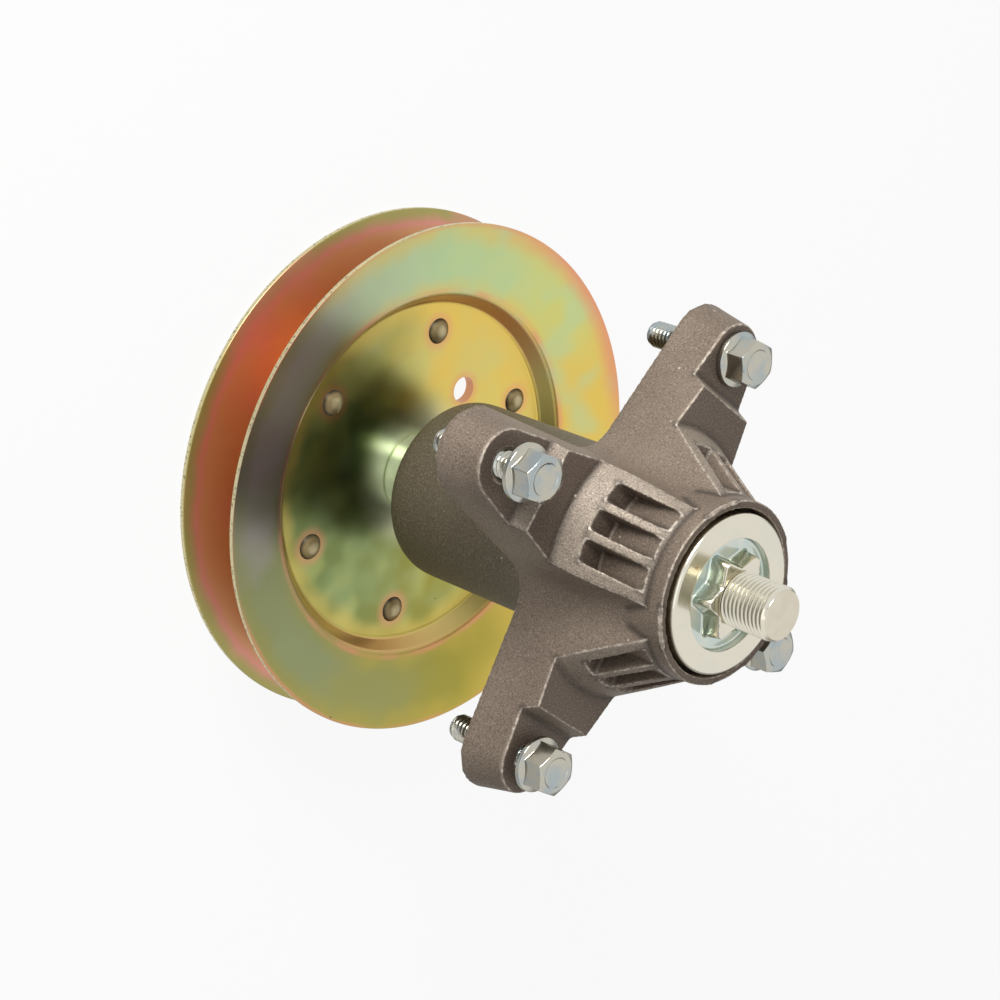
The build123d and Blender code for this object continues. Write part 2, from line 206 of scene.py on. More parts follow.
class Surface:
    """The procedural nodes of one material, or of the world, while they are being laid out."""

    def __init__(self, owner: bpy.types.Material | bpy.types.World) -> None:
        """Empty the owner's nodes.

        Args:
            owner: The material or the world.
        """
        owner.use_nodes = True
        self.owner = owner
        self.tree = owner.node_tree
        self.tree.nodes.clear()

    @classmethod
    def material(cls, name: str) -> Surface:
        """Start a new material of this name."""
        return cls(bpy.data.materials.new(name))

    def node(
        self,
        kind: str,
        settings: Mapping[str, Any] | None = None,
        sockets: Mapping[int | str, Any] | None = None,
        output: int | str = 0,
    ) -> Field:
        """Add one node: its settings first, then the values or links of its sockets.

        Args:
            kind: The node's type.
            settings: Properties of the node; the key stops holds a ramp's places and colours.
            sockets: Inputs by name or number, each a plain value or a field to link.
            output: The output to return.

        Returns:
            The chosen output as a field.
        """
        made = self.tree.nodes.new(kind)
        for key, value in (settings or {}).items():
            if key == "stops":
                self.set_stops(made.color_ramp, value)
            else:
                setattr(made, key, value)
        for key, value in (sockets or {}).items():
            if isinstance(value, Field):
                self.tree.links.new(value.socket, made.inputs[key])
            else:
                made.inputs[key].default_value = value
        # A node that ends a tree has inputs alone, so its first one is returned
        return Field(self, made.outputs[output] if len(made.outputs) else made.inputs[0])

    @staticmethod
    def set_stops(ramp: bpy.types.ColorRamp, stops: Sequence[tuple[float, Colour]]) -> None:
        """Give a colour ramp its stops.

        Args:
            ramp: The ramp, which has two elements when it is new.
            stops: Place and colour of each stop, in order.
        """
        while len(ramp.elements) < len(stops):
            ramp.elements.new(1.0)
        for element, (place, colour) in zip(ramp.elements, stops):
            element.position = place
            element.color = colour

    def position(self) -> Field:
        """Return the place on the object, in the frame's axes."""
        return self.node("ShaderNodeTexCoord", output="Object")

    def along(self, vector: Field, axis: str) -> Field:
        """Return one coordinate of a vector."""
        return self.node("ShaderNodeSeparateXYZ", None, {0: vector}, axis)

    def radius(self, place: Field) -> Field:
        """Return the distance from the spindle axis.

        Args:
            place: Where it is read.

        Returns:
            The distance.
        """
        x = self.along(place, "X")
        y = x.other("Y")
        return (x * x + y * y) ** 0.5

    def facing(self) -> Field:
        """Return the Z part of the surface's own normal."""
        return self.along(self.node("ShaderNodeTexCoord", output="Normal"), "Z")

    def attribute(self, name: str) -> Field:
        """Return a value that is stored on the piece's own vertices."""
        return self.node("ShaderNodeAttribute", {"attribute_name": name}, output="Fac")

    def apart(self, place: Field, centre: tuple[float, float, float]) -> Field:
        """Return the distance from a fixed centre."""
        settings = {"operation": "DISTANCE"}
        return self.node("ShaderNodeVectorMath", settings, {0: place, 1: centre}, "Value")

    def noise(self, place: Field, grain: float, detail: float = 3.0) -> Field:
        """Return soft noise between 0 and 1.

        Args:
            place: Where it is read.
            grain: Rough size of its patches.
            detail: Octaves of finer noise.

        Returns:
            The noise's value.
        """
        sockets = {"Vector": place, "Scale": 1 / grain, "Detail": detail}
        return self.node("ShaderNodeTexNoise", None, sockets)

    def spots(self, place: Field, spacing: float, size: float) -> Field:
        """Return small round spots, scattered unevenly.

        Args:
            place: Where it is read.
            spacing: Rough distance between spots.
            size: Radius of a spot.

        Returns:
            A mask, 1 in the spots.
        """
        sockets = {"Vector": place, "Scale": 1 / spacing, "Randomness": 1.0}
        distance = self.node("ShaderNodeTexVoronoi", None, sockets)
        return self.step(distance, size / spacing, 0.4 * size / spacing)

    def step(
        self, value: Field, start: float, stop: float, low: float = 0, high: float = 1
    ) -> Field:
        """Run smoothly from low at start to high at stop, level outside them.

        Args:
            value: The field that is read.
            start: Where the run begins; it may lie above the stop.
            stop: Where it ends.
            low: The result at the start.
            high: The result at the stop.

        Returns:
            The smoothed result.
        """
        sockets = {
            "Value": value,
            "From Min": start,
            "From Max": stop,
            "To Min": low,
            "To Max": high,
        }
        return self.node("ShaderNodeMapRange", {"interpolation_type": "SMOOTHSTEP"}, sockets)

    def mix(self, mask: Any, first: Any, second: Any) -> Field:
        """Mix two colours.

        Args:
            mask: 0 for the first colour, 1 for the second.
            first: A colour or a field.
            second: A colour or a field.

        Returns:
            The mixed colour.
        """
        settings = {"data_type": "RGBA", "blend_type": "MIX"}
        return self.node("ShaderNodeMix", settings, {0: mask, 6: first, 7: second}, 2)

    def ramp(self, value: Field, *stops: tuple[float, Colour]) -> Field:
        """Turn a value between 0 and 1 into a colour by the given stops."""
        return self.node("ShaderNodeValToRGB", {"stops": stops}, {0: value})

    def bump(self, height: Field, depth: float) -> Field:
        """Return a normal that is tilted by a height.

        Args:
            height: Field of heights between 0 and 1.
            depth: What a height of 1 stands for.

        Returns:
            The normal.
        """
        return self.node("ShaderNodeBump", None, {"Height": height, "Distance": depth})

    def close(self, sockets: Mapping[str, Any]) -> bpy.types.Material:
        """End the material in its shader.

        Args:
            sockets: Values or fields of the shader's inputs.

        Returns:
            The finished material.
        """
        shader = self.node("ShaderNodeBsdfPrincipled", None, sockets)
        self.node("ShaderNodeOutputMaterial", None, {"Surface": shader})
        return self.owner


@dataclass(frozen=True)
class CastFinish:
    """Blasted aluminium casting: taupe, sparkling on its slopes, rubbed pale at its edges, with
    painted shade low on the boss, on its level faces and in its inner creases.
    """

    name: str = "cast_aluminium"
    light: Colour = srgb(148, 132, 116)
    dark: Colour = srgb(124, 109, 95)
    # Level faces towards +Z: partly a smoother finish, partly painted shade
    smooth_and_shade: Colour = srgb(102, 88, 77)
    # Olive low on the boss: painted shade, with a painted reflection of the yellow pulley
    olive: Colour = srgb(96, 90, 72)
    worn: Colour = srgb(218, 206, 190)
    sparkle: Colour = srgb(196, 184, 168)
    # Dark of the pits, and of the inner creases, where it is dirt and painted shade
    dirt_and_shade: Colour = srgb(44, 37, 32)
    patch: float = 24 * MM
    mottle: float = 1.7 * MM
    grain: float = 0.5 * MM
    nick_spacing: float = 8.5 * MM
    nick_radius: float = 0.55 * MM
    painted_shade_heights: Run = (4 * MM, -14 * MM)
    relief: float = 0.15 * MM

    def make(self) -> bpy.types.Material:
        """Return the casting's material."""
        surface = Surface.material(self.name)
        place = surface.position()
        painted_low_shade = surface.step(surface.along(place, "Z"), *self.painted_shade_heights)
        facing = surface.facing()
        patches = surface.noise(place, self.patch)
        mottle = surface.noise(place, self.mottle, 5.0)
        grain = surface.noise(place, self.grain, 2.0)
        tone = surface.mix(surface.step(patches, 0.3, 0.7) * 0.6, self.dark, self.light)
        # Olive low down: painted shade and a painted reflection of the pulley
        tone = surface.mix(painted_low_shade * 0.75, tone, self.olive)
        # Faces towards +Z darker: partly their smoother finish, partly painted shade
        tone = surface.mix(surface.step(facing, 0.9, 0.985) * 0.8, tone, self.smooth_and_shade)
        slope = surface.step(facing, 0.2, 0.4) * surface.step(facing, 0.93, 0.8)
        tone = surface.mix(slope * 0.3, tone, self.sparkle)
        pits = surface.step(grain, 0.5, 0.32)
        tone = surface.mix(pits * 0.4, tone, self.dirt_and_shade)
        glitter = surface.step(grain, 0.56, 0.72)
        tone = surface.mix(glitter * (slope * 0.3 + 0.3), tone, self.sparkle)
        # Inner creases darkened: dirt and painted shade
        tone = surface.mix(surface.attribute(CREASE_DIRT_AND_SHADE) * 0.75, tone, self.dirt_and_shade)
        edge = surface.step(surface.attribute(RUBBED) + (mottle - 0.5) * 1.4, 0.5, 1.0)
        tone = surface.mix(edge * 0.75, tone, self.worn)
        nicks = surface.spots(place, self.nick_spacing, self.nick_radius)
        tone = surface.mix(nicks * 0.65, tone, self.worn)
        return surface.close(
            {
                "Base Color": tone,
                "Metallic": 0.4,
                "Roughness": 0.56 - 0.1 * glitter - 0.14 * edge,
                "Normal": surface.bump(grain + mottle * 0.5, self.relief),
            }
        )


@dataclass(frozen=True)
class BrightZinc:
    """Bright zinc plating on steel, grey-white to cream, a little wavy."""

    name: str
    cool: Colour = srgb(184, 190, 190)
    cream: Colour = srgb(200, 196, 184)
    blue: Colour = srgb(158, 180, 188)
    roughness: float = 0.12
    patch: float = 14 * MM
    grain: float = 0.4 * MM
    relief: float = 0.006 * MM

    def tint(self, surface: Surface, place: Field, tone: Field) -> Field:
        """Return the plating's tone as it is; a plating with tints of its own lays them here."""
        return tone

    def make(self) -> bpy.types.Material:
        """Return the plating's material."""
        surface = Surface.material(self.name)
        place = surface.position()
        patches = surface.noise(place, self.patch)
        film = surface.noise(place, 0.35 * self.patch)
        fine = surface.noise(place, self.grain)
        tone = surface.mix(surface.step(patches, 0.4, 0.6), self.cool, self.cream)
        tone = surface.mix(surface.step(film, 0.5, 0.72) * 0.35, tone, self.blue)
        tone = self.tint(surface, place, tone)
        return surface.close(
            {
                "Base Color": tone,
                "Metallic": 1.0,
                "Roughness": self.roughness + 0.08 * film,
                "Normal": surface.bump(fine * 0.5 + film, self.relief),
            }
        )


@dataclass(frozen=True)
class ShaftZinc(BrightZinc):
    """The shaft's plating: cream on the flange, teal in its recess, warm on its end."""

    ring: Colour = srgb(224, 218, 200)
    teal: Colour = srgb(190, 204, 199)
    end: Colour = srgb(208, 199, 180)
    stain: Colour = srgb(196, 160, 96)
    cloud_size: float = 5 * MM
    ring_heights: Run = (43 * MM, 45 * MM)
    pool_heights: Run = (44 * MM, 46 * MM)
    recess_radius: float = 16.2 * MM
    recess_blur: float = 0.3 * MM
    recess_top: float = 50.7 * MM
    recess_depth: float = 1 * MM
    star_rise: float = 2 * MM
    shaft_end: float = 69.3 * MM
    end_blur: float = 0.1 * MM
    stain_place: tuple[float, float, float] = (-13.2 * MM, 13.6 * MM, 51 * MM)
    stain_radius: float = 0.9 * MM

    def tint(self, surface: Surface, place: Field, tone: Field) -> Field:
        """Lay the tints of ring, recess, end and one small stain on the plating.

        Args:
            surface: The material being laid out.
            place: The place on the object.
            tone: The plating's own tone.

        Returns:
            The tinted tone.
        """
        height = surface.along(place, "Z")
        radius = surface.radius(place)
        cloud = surface.noise(place, self.cloud_size)
        tone = surface.mix(surface.step(height, *self.ring_heights) * 0.8, tone, self.ring)
        rim = self.recess_radius
        inside = surface.step(radius, rim + self.recess_blur, rim - self.recess_blur)
        deep = surface.step(height, self.recess_top, self.recess_top - self.recess_depth)
        star = surface.step(height, self.recess_top + self.star_rise, self.recess_top)
        pool = inside * (deep * 0.5 + star * 0.5) * surface.step(height, *self.pool_heights)
        tone = surface.mix(pool * surface.step(cloud, 0.75, 0.35, 0.35, 0.95), tone, self.teal)
        tip = surface.step(height, self.shaft_end, self.shaft_end + self.end_blur)
        tone = surface.mix(tip * surface.step(cloud, 0.3, 0.7, 0.55, 1.0), tone, self.end)
        away = surface.apart(place, self.stain_place) + cloud * self.stain_radius
        mark = surface.step(away, 1.6 * self.stain_radius, 0.5 * self.stain_radius)
        return surface.mix(mark * 0.75, tone, self.stain)


@dataclass(frozen=True)
class Disc:
    """What the zones of a pulley sheet's finish read at each place."""

    place: Field
    radius: Field
    angle: Field
    turned: Field
    share: Field
    drift: Field
    veil: Field
    sway: Field
    patchy: Field
    facing: Field


@dataclass(frozen=True)
class YellowZinc:
    """Yellow passivated zinc of one pulley sheet, whose tint drifts round the disc."""

    name: str
    side: Side
    rivet_circle: float
    rivet_count: int
    rivet_turn: float
    hole_place: tuple[float, float, float]
    gold: Colour = srgb(226, 194, 96)
    lime: Colour = srgb(206, 206, 124)
    mint: Colour = srgb(184, 208, 156)
    # Pale at the hub: a painted reflection of the spacer
    pale_hub_reflection: Colour = srgb(208, 214, 182)
    slate: Colour = srgb(192, 196, 172)
    smoke: Colour = srgb(192, 176, 188)
    teal: Colour = srgb(146, 152, 108)
    fern: Colour = srgb(124, 138, 84)
    olive: Colour = srgb(162, 152, 68)
    rose: Colour = srgb(226, 152, 120)
    ember: Colour = srgb(212, 162, 120)
    blush: Colour = srgb(216, 150, 134)
    moss: Colour = srgb(168, 160, 100)
    mauve: Colour = srgb(178, 112, 94)
    umber: Colour = srgb(150, 112, 66)
    edge: Colour = srgb(220, 210, 166)
    nick: Colour = srgb(64, 56, 40)
    drift_size: float = 30 * MM
    veil_size: float = 12 * MM
    cloud_size: float = 13.5 * MM
    grit_size: float = 0.9 * MM
    sway_size: float = 8 * MM
    speck_spacing: float = 17 * MM
    speck_radius: float = 0.38 * MM
    relief: float = 0.06 * MM
    warm_turn: float = 25.0
    hub: Run = (26 * MM, 14 * MM)
    web_border: Run = (46 * MM, 53 * MM)
    web_end: Run = (53 * MM, 57 * MM)
    step_end: Run = (58 * MM, 57 * MM)
    lip_radius: float = 57.6 * MM
    lip_width: Run = (1.8 * MM, 0.2 * MM)
    inner_border: Run = (64 * MM, 56 * MM)
    outer_border: Run = (71 * MM, 79 * MM)
    warm_border: Run = (73 * MM, 79 * MM)
    rim: Run = (77.6 * MM, 79.4 * MM)
    sheared_rim: Run = (78.2 * MM, 78.8 * MM)
    groove_start: Run = (54 * MM, 57 * MM)
    groove_depth: Run = (56 * MM, 80 * MM)
    rivet_halo: Run = (7.5 * MM, 3.6 * MM)
    hole_halo: Run = (7.5 * MM, 4.0 * MM)

    def read(self, surface: Surface) -> Disc:
        """Lay out what the sheet's zones read.

        Args:
            surface: The material being laid out.

        Returns:
            The fields: angles in radians, from -pi to pi, and the share of the drifting turn.
        """
        place = surface.position()
        x = surface.along(place, "X")
        angle = x.math("ARCTAN2", x.other("Y"), x)
        drift = surface.noise(place, self.drift_size, 2.0)
        veil = surface.noise(place, self.veil_size, 1.0)
        return Disc(
            place=place,
            radius=surface.radius(place),
            angle=angle,
            turned=abs(angle - radians(self.warm_turn)),
            share=(angle / tau + 1.0 + (drift - 0.5) * 0.14).fraction(),
            drift=drift,
            veil=veil,
            sway=(veil - 0.5) * self.sway_size,
            patchy=surface.step(surface.noise(place, self.cloud_size, 1.0), 0.42, 0.7),
            facing=surface.facing(),
        )

    def web(self, surface: Surface, disc: Disc) -> Field:
        """Tint the web: green in patches, golden at its border, and pale at the hub as a painted
        reflection of the spacer.

        Args:
            surface: The material being laid out.
            disc: What is read on the sheet.

        Returns:
            The web's tone.
        """
        tone = surface.ramp(
            disc.share,
            (0.0, self.gold),
            (0.22, self.gold),
            (0.34, self.fern),
            (0.6, self.fern),
            (0.8, self.olive),
            (1.0, self.gold),
        )
        tone = surface.mix(surface.step(disc.veil, 0.35, 0.75) * 0.22, tone, self.mint)
        tone = surface.mix(disc.patchy * 0.3, tone, self.lime)
        border = surface.step(disc.radius + disc.sway, *self.web_border)
        tone = surface.mix(border * 0.5, tone, self.gold)
        # Pale ring round the hub: a painted reflection of the spacer
        return surface.mix(surface.step(disc.radius, *self.hub) * 0.85, tone, self.pale_hub_reflection)

    def flank(self, surface: Surface, disc: Disc) -> Field:
        """Tint the flank, its borders and the lip at its foot, with mint where it is warm.

        Args:
            surface: The material being laid out.
            disc: What is read on the sheet.

        Returns:
            The flank's tone.
        """
        tone = surface.ramp(
            disc.share,
            (0.0, self.gold),
            (0.1, self.lime),
            (0.22, self.mint),
            (0.33, self.slate),
            (0.41, self.smoke),
            (0.5, self.teal),
            (0.62, self.teal),
            (0.74, self.olive),
            (0.88, self.gold),
            (1.0, self.gold),
        )
        border = surface.ramp(
            disc.share,
            (0.0, self.gold),
            (0.3, self.gold),
            (0.42, self.teal),
            (0.6, self.olive),
            (0.9, self.gold),
            (1.0, self.gold),
        )
        inner = surface.step(disc.radius + disc.sway, *self.inner_border)
        outer = surface.step(disc.radius + disc.sway, *self.outer_border)
        tone = surface.mix(inner.larger(outer) * 0.6, tone, border)
        lip = surface.step(abs(disc.radius - self.lip_radius), *self.lip_width)
        tone = surface.mix(lip * surface.step(disc.veil, 0.3, 0.7, 0.2, 0.65), tone, self.rose)
        near = surface.step(disc.turned, 1.7, 0.9)
        return surface.mix(disc.patchy * near * 0.6, tone, self.mint)

    def step_wall(self, surface: Surface, disc: Disc) -> Field:
        """Return the tone of the steep step between web and flank; its lime at the lower right is a
        painted highlight.
        """
        return surface.ramp(
            disc.share,
            (0.0, self.moss),
            (0.12, self.mauve),
            (0.34, self.umber),
            (0.5, self.gold),
            (0.66, self.ember),
            # Lime at the lower right: a painted highlight
            (0.84, self.lime),
            (1.0, self.moss),
        )

    def groove_wall(self, surface: Surface, disc: Disc) -> Field:
        """Tint the wall that the belt runs on, redder outwards and in patches.

        Args:
            surface: The material being laid out.
            disc: What is read on the sheet.

        Returns:
            The wall's tone.
        """
        tone = surface.ramp(
            surface.step(disc.radius + disc.sway * 0.4, *self.groove_depth),
            (0.0, self.ember),
            (0.8, self.ember),
            (0.9, self.blush),
            (0.985, self.moss),
        )
        return surface.mix(surface.step(disc.drift, 0.48, 0.66) * 0.6, tone, self.blush)

    def halo(self, surface: Surface, disc: Disc) -> Field:
        """Mark the rings of tint round every rivet and round the locating hole.

        Args:
            surface: The material being laid out.
            disc: What is read on the sheet.

        Returns:
            A mask, 1 beside the heads and the hole.
        """
        pitch = tau / self.rivet_count
        turn = (disc.angle - radians(self.rivet_turn)) / pitch + (self.rivet_count + 0.5)
        away = (turn.fraction() - 0.5) * pitch
        across = disc.radius * away.math("SINE", away)
        along = disc.radius * away.math("COSINE", away) - self.rivet_circle
        rivets = (across * across + along * along) ** 0.5
        hole = surface.apart(disc.place, self.hole_place)
        beside = surface.step(rivets, *self.rivet_halo)
        return beside.larger(surface.step(hole, *self.hole_halo))

    def make(self) -> bpy.types.Material:
        """Return the sheet's material."""
        surface = Surface.material(self.name)
        disc = self.read(surface)
        web, flank = self.web(surface, disc), self.flank(surface, disc)
        tone = surface.mix(surface.step(disc.radius, *self.web_end), web, flank)
        rim = surface.step(disc.radius + disc.sway * 0.2, *self.rim)
        rosy = rim * surface.step(disc.drift, 0.35, 0.6, 0.15, 0.6)
        tone = surface.mix(rosy, tone, self.rose)
        warm = surface.step(disc.turned, 0.85, 0.25)
        warm = warm * surface.step(disc.radius + disc.sway * 0.4, *self.warm_border)
        tone = surface.mix(warm * 0.8, tone, self.rose)
        steep = surface.step(abs(disc.facing), 0.88, 0.7)
        steep = steep * surface.step(disc.radius, *self.step_end)
        tone = surface.mix(steep * 0.75, tone, self.step_wall(surface, disc))
        tone = surface.mix(self.halo(surface, disc) * 0.5, tone, self.rose)
        in_groove = surface.step(disc.facing * float(self.side.value), 0.2, 0.5)
        in_groove = in_groove * surface.step(disc.radius, *self.groove_start)
        tone = surface.mix(in_groove, tone, self.groove_wall(surface, disc))
        sheared = surface.step(abs(disc.facing), 0.55, 0.3)
        sheared = sheared * surface.step(disc.radius, *self.sheared_rim)
        tone = surface.mix(sheared, tone, self.edge)
        specks = surface.spots(disc.place, self.speck_spacing, self.speck_radius)
        grit = surface.noise(disc.place, self.grit_size)
        edge_nicks = surface.step(grit, 0.56, 0.66) * sheared
        tone = surface.mix((specks * 0.8).larger(edge_nicks * 0.6), tone, self.nick)
        return surface.close(
            {
                "Base Color": tone,
                "Metallic": 1.0,
                "Roughness": 0.26 + 0.08 * disc.veil + 0.1 * in_groove,
                "Normal": surface.bump(1 - specks - edge_nicks, self.relief),
            }
        )


@dataclass(frozen=True)
class PlainMetal:
    """Turned, pressed or ground metal with a soft patina of a second tone."""

    name: str
    base: Colour
    patina: Colour
    roughness: float
    patch: float = 3 * MM
    depth: float = 0.02 * MM
    metallic: float = 1.0

    def make(self) -> bpy.types.Material:
        """Return the metal's material."""
        surface = Surface.material(self.name)
        place = surface.position()
        patches = surface.noise(place, self.patch, 4.0)
        fine = surface.noise(place, 0.1 * self.patch)
        tone = surface.mix(surface.step(patches, 0.35, 0.65), self.base, self.patina)
        return surface.close(
            {
                "Base Color": tone,
                "Metallic": self.metallic,
                "Roughness": self.roughness + 0.14 * patches,
                "Normal": surface.bump(fine * 0.3 + patches, self.depth),
            }
        )


@dataclass(frozen=True)
class RivetBronze:
    """Bronze patina of a set rivet, with a painted highlight on its crown, partly rubbed wear, and
    painted shade at the foot of its head.
    """

    name: str = "rivet_bronze"
    crown_wear_and_highlight: Colour = srgb(206, 192, 150)
    flank: Colour = srgb(142, 124, 84)
    foot_shade: Colour = srgb(56, 47, 32)
    patch: float = 2.4 * MM
    relief: float = 0.02 * MM

    def make(self) -> bpy.types.Material:
        """Return the rivets' material."""
        surface = Surface.material(self.name)
        patches = surface.noise(surface.position(), self.patch, 4.0)
        level = abs(surface.facing()) + (patches - 0.5) * 0.12
        # Dark foot of the head: painted shade
        tone = surface.mix(surface.step(level, 0.66, 0.86), self.foot_shade, self.flank)
        # Pale crown: a painted highlight, partly rubbed wear
        tone = surface.mix(surface.step(level, 0.88, 1.0) * 0.85, tone, self.crown_wear_and_highlight)
        return surface.close(
            {
                "Base Color": tone,
                "Metallic": 0.5,
                "Roughness": 0.36 + 0.14 * patches,
                "Normal": surface.bump(patches, self.relief),
            }
        )


def tidy(mesh: BMesh) -> BMesh:
    """Merge doubles and turn every face outwards."""
    bmesh.ops.remove_doubles(mesh, verts=mesh.verts, dist=MERGE_DISTANCE)
    bmesh.ops.recalc_face_normals(mesh, faces=mesh.faces)
    return mesh


def as_data(mesh: BMesh, name: str) -> bpy.types.Mesh:
    """Store a mesh under a name and free it.

    Args:
        mesh: The mesh.
        name: The name.

    Returns:
        The stored mesh.
    """
    data = bpy.data.meshes.new(name)
    mesh.to_mesh(data)
    mesh.free()
    return data


def add_object(name: str, data: bpy.types.ID) -> bpy.types.Object:
    """Show a mesh, a camera or a lamp in the scene.

    Args:
        name: The object's name.
        data: What it shows.

    Returns:
        The new object, at the origin.
    """
    made = bpy.data.objects.new(name, data)
    bpy.context.scene.collection.objects.link(made)
    return made


def cut(mesh: BMesh, height: float, keep_above: bool) -> None:
    """Cut a closed mesh level at one height, drop a side and close the cut.

    Args:
        mesh: The mesh to cut.
        height: Height of the cut.
        keep_above: Whether the part above it stays.
    """
    bmesh.ops.bisect_plane(
        mesh,
        geom=mesh.verts[:] + mesh.edges[:] + mesh.faces[:],
        dist=MERGE_DISTANCE,
        plane_co=(0, 0, height),
        plane_no=UP,
        clear_inner=keep_above,
        clear_outer=not keep_above,
    )
    rims = [edge for edge in mesh.edges if edge.is_boundary]
    bmesh.ops.holes_fill(mesh, edges=rims, sides=0)


def limit_radius(mesh: BMesh, limit: Callable[[float], float], centre: Vector = ORIGIN) -> None:
    """Draw vertices in towards an upright axis where they pass a limit.

    Args:
        mesh: The mesh to change.
        limit: Largest radius allowed at a height.
        centre: A point of the axis.
    """
    for vert in mesh.verts:
        offset = Vector((vert.co.x - centre.x, vert.co.y - centre.y, 0))
        most = limit(vert.co.z)
        if offset.length > most:
            offset *= most / offset.length
            vert.co.x = centre.x + offset.x
            vert.co.y = centre.y + offset.y


def drawn(profile: Sequence[tuple[float, float]]) -> BMesh:
    """Draw a profile, ready to be spun.

    Args:
        profile: Radius and height of each corner; a closed one repeats its first.

    Returns:
        A mesh of the line alone.
    """
    mesh = bmesh.new()
    verts = [mesh.verts.new((radius, 0, height)) for radius, height in profile]
    for first, second in zip(verts, verts[1:]):
        mesh.edges.new((first, second))
    return mesh


def spun(mesh: BMesh, steps: int, turns: int = 1, rise: float = 0.0) -> BMesh:
    """Spin a drawn profile round the spindle axis.

    Args:
        mesh: The profile, which becomes the spun surface.
        steps: Steps in a full turn.
        turns: How many full turns.
        rise: Climb of each step; a helix has one, and its ends stay apart.

    Returns:
        The same mesh.
    """
    bmesh.ops.spin(
        mesh,
        geom=mesh.verts[:] + mesh.edges[:],
        cent=ORIGIN,
        axis=UP,
        dvec=(0, 0, rise),
        angle=tau * turns,
        steps=steps * turns,
        use_merge=not rise,
    )
    return tidy(mesh)


def lathe(profile: Sequence[tuple[float, float]], steps: int, bend: float = 0.0) -> BMesh:
    """Turn an open or closed profile once round the spindle axis.

    Args:
        profile: Radius and height of each corner; a closed one repeats its first.
        steps: Steps in the full turn.
        bend: Size of the rounding at the inner corners of an open profile.

    Returns:
        The spun surface.
    """
    mesh = drawn(profile)
    if bend:
        bmesh.ops.bevel(
            mesh,
            geom=mesh.verts[:][1:-1],
            offset=bend,
            segments=6,
            profile=0.5,
            affect="VERTICES",
            material=-1,
        )
    bmesh.ops.remove_doubles(mesh, verts=mesh.verts, dist=MERGE_DISTANCE)
    return spun(mesh, steps)


def rod(radius: float, length: float, sides: int, middle: Sequence[float] = ORIGIN) -> BMesh:
    """Make a closed upright rod.

    Args:
        radius: Its radius.
        length: Its length.
        sides: How many sides it has.
        middle: The place of its middle.

    Returns:
        The rod.
    """
    mesh = bmesh.new()
    bmesh.ops.create_cone(
        mesh,
        cap_ends=True,
        segments=sides,
        radius1=radius,
        radius2=radius,
        depth=length,
        matrix=Matrix.Translation(middle),
    )
    return mesh


def round_edges(mesh: BMesh, offset: float, angle: float) -> BMesh:
    """Put a narrow bevel on every edge sharper than an angle.

    Args:
        mesh: The mesh to change.
        offset: Width of the bevel.
        angle: The angle in degrees.

    Returns:
        The same mesh.
    """
    sharp = [edge for edge in mesh.edges if edge.calc_face_angle(0) > radians(angle)]
    bmesh.ops.bevel(
        mesh,
        geom=sharp,
        offset=offset,
        segments=3,
        profile=0.5,
        affect="EDGES",
        material=-1,
    )
    return mesh


def modified(mesh: BMesh, kind: str, **settings: Any) -> BMesh:
    """Return a mesh as one modifier leaves it, and free the mesh itself.

    Args:
        mesh: The mesh to change.
        kind: The modifier's type.
        settings: The modifier's own settings.

    Returns:
        The changed mesh.
    """
    data = as_data(mesh, "blank")
    blank = add_object("blank", data)
    modifier = blank.modifiers.new(kind, kind)
    for key, value in settings.items():
        setattr(modifier, key, value)
    bpy.context.view_layer.update()
    evaluated = blank.evaluated_get(bpy.context.evaluated_depsgraph_get())
    made = bpy.data.meshes.new_from_object(evaluated)
    result = bmesh.new()
    result.from_mesh(made)
    bpy.data.objects.remove(blank)
    bpy.data.meshes.remove(made)
    bpy.data.meshes.remove(data)
    return result


def soften(mesh: BMesh, verts: Sequence[BMVert], rounds: int) -> None:
    """Smooth some vertices of a mesh.

    Args:
        mesh: The mesh to change.
        verts: The vertices that move.
        rounds: Rounds of smoothing.
    """
    for _ in range(rounds):
        bmesh.ops.smooth_vert(
            mesh, verts=verts, factor=0.5, use_axis_x=True, use_axis_y=True, use_axis_z=True
        )


def soft_copy(source: BMesh, voxel: float, rounds: int) -> BMesh:
    """Rebuild a closed mesh from even small faces and smooth its edges round.

    Args:
        source: The closed mesh, which is freed.
        voxel: Size of the new faces.
        rounds: Rounds of smoothing.

    Returns:
        The rounded mesh.
    """
    mesh = modified(source, "REMESH", mode="VOXEL", voxel_size=voxel)
    soften(mesh, mesh.verts[:], rounds)
    return mesh


def blunt(mesh: BMesh, offset: float) -> BMesh:
    """Merge the flat faces of a hexagon piece and put a narrow bevel on its edges."""
    bmesh.ops.dissolve_limit(mesh, angle_limit=radians(1.0), verts=mesh.verts, edges=mesh.edges)
    return round_edges(mesh, offset, HEXAGON_CORNER)


def edge_tree(mesh: BMesh, convex: bool, angle: float, spacing: float) -> KDTree:
    """Gather points along the sharp edges of a mesh.

    Args:
        mesh: The mesh.
        convex: Whether outer edges are meant, or inner ones.
        angle: Angle in degrees past which an edge counts as sharp.
        spacing: Distance between two points of an edge.

    Returns:
        The points, ready to be searched.
    """
    points = []
    for edge in mesh.edges:
        if edge.calc_face_angle(0) > radians(angle) and edge.is_convex == convex:
            start, stop = (vert.co for vert in edge.verts)
            steps = max(1, int(edge.calc_length() / spacing))
            points.extend(start.lerp(stop, step / steps) for step in range(steps + 1))
    tree = KDTree(len(points))
    for number, point in enumerate(points):
        tree.insert(point, number)
    tree.balance()
    return tree


